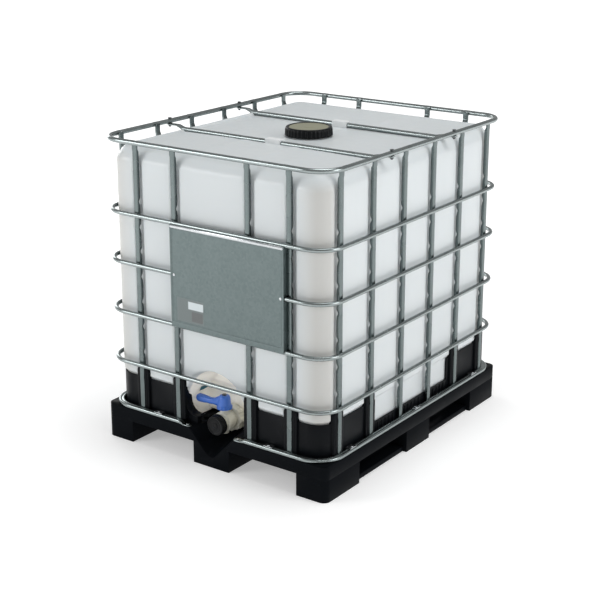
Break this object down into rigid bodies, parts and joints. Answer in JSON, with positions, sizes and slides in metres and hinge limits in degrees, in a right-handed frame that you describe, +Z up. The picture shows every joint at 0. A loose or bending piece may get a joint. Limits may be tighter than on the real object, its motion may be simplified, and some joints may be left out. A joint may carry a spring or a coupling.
{
  "type": "intermediate bulk container",
  "caption": "Caged bulk liquid container: milky bottle in a galvanised tube cage on a black plastic pallet, with screw fill cap and lever outlet valve.",
  "frame": {"origin": "middle of the pallet's footprint on the floor", "axes": "+Z up, -Y towards the outlet valve, +X to the right of someone facing the valve; the short sides face -Y and +Y"},
  "size_m": [1, 1.2, 1.15],
  "materials": {
    "black_plastic": "semi-gloss moulded polyethylene",
    "galvanised_steel": "bright galvanised tube",
    "zinc_sheet": "dull spangled zinc sheet",
    "bright_steel": "bright zinc",
    "dark_steel": "dark plated steel",
    "milky_plastic": "natural blow-moulded polyethylene, slightly translucent",
    "paper": "printed film, shown blank",
    "valve_plastic": "natural moulded polyethylene",
    "nut_plastic": "natural moulded polyethylene",
    "seal_rubber": "soft rubber",
    "cap_plastic": "black moulded polypropylene",
    "handle_plastic": "blue moulded plastic"
  },
  "bodies": {
    "container": {"pallet_deck": "black_plastic", "pallet_feet": "black_plastic", "runner_left": "black_plastic", "runner_centre": "black_plastic", "runner_right": "black_plastic", "guard_front_left": "black_plastic", "guard_front_right": "black_plastic", "guard_rear_left": "black_plastic", "guard_rear_right": "black_plastic", "sill_left": "black_plastic", "sill_right": "black_plastic", "base_rail": "galvanised_steel", "upright_front_outer_left": "galvanised_steel", "upright_front_inner_left": "galvanised_steel", "upright_front_inner_right": "galvanised_steel", "upright_front_outer_right": "galvanised_steel", "upright_rear_outer_left": "galvanised_steel", "upright_rear_inner_left": "galvanised_steel", "upright_rear_inner_right": "galvanised_steel", "upright_rear_outer_right": "galvanised_steel", "upright_left_1": "galvanised_steel", "upright_left_2": "galvanised_steel", "upright_left_3": "galvanised_steel", "upright_left_4": "galvanised_steel", "upright_left_5": "galvanised_steel", "upright_left_6": "galvanised_steel", "upright_right_1": "galvanised_steel", "upright_right_2": "galvanised_steel", "upright_right_3": "galvanised_steel", "upright_right_4": "galvanised_steel", "upright_right_5": "galvanised_steel", "upright_right_6": "galvanised_steel", "hoop_1": "galvanised_steel", "hoop_2": "galvanised_steel", "hoop_3": "galvanised_steel", "hoop_4": "galvanised_steel", "top_rim": "galvanised_steel", "top_bar_front": "galvanised_steel", "top_bar_rear": "galvanised_steel", "label_plate": "zinc_sheet", "rail_brackets": "bright_steel", "rail_screws": "bright_steel", "runner_screws": "bright_steel", "plate_rivets": "bright_steel", "bar_bolts": "dark_steel", "bottle": "milky_plastic", "bar_clips": "milky_plastic", "plate_label": "paper", "valve_body": "valve_plastic", "outlet_nut": "nut_plastic", "outlet_seal": "seal_rubber", "stem_seal": "seal_rubber"},
    "fill_cap_lift": {"fill_cap_seal": "seal_rubber"},
    "fill_cap": {"fill_cap": "cap_plastic"},
    "outlet_cap_lift": {"outlet_cap_seal": "seal_rubber"},
    "outlet_cap": {"outlet_cap": "cap_plastic"},
    "valve_core": {"valve_handle": "handle_plastic", "valve_disc": "valve_plastic", "valve_stem": "bright_steel", "handle_screw": "bright_steel"}
  },
  "joints": [
    {"name": "valve_turn", "type": "hinge", "parent": "container", "child": "valve_core", "pos_m": [0, -0.515, 0.15], "axis": [0, 0, 1], "range_deg": [0, 90]},
    {"name": "fill_cap_slide", "type": "slide", "parent": "container", "child": "fill_cap_lift", "axis": [0, 0, 1], "range_m": [0, 0.028]},
    {"name": "fill_cap_turn", "type": "hinge", "parent": "fill_cap_lift", "child": "fill_cap", "pos_m": [0, 0, 1.12], "axis": [0, 0, 1], "range_deg": [0, 1440]},
    {"name": "outlet_cap_slide", "type": "slide", "parent": "container", "child": "outlet_cap_lift", "axis": [0, -1, 0], "range_m": [0, 0.021]},
    {"name": "outlet_cap_turn", "type": "hinge", "parent": "outlet_cap_lift", "child": "outlet_cap", "pos_m": [0, -0.56, 0.15], "axis": [0, -1, 0], "range_deg": [0, 1260]}
  ],
  "couplings": [
    {"joint": "fill_cap_slide", "follows": "fill_cap_turn", "m_per_rad": 0.0011141},
    {"joint": "outlet_cap_slide", "follows": "outlet_cap_turn", "m_per_rad": 0.00095493}
  ]
}
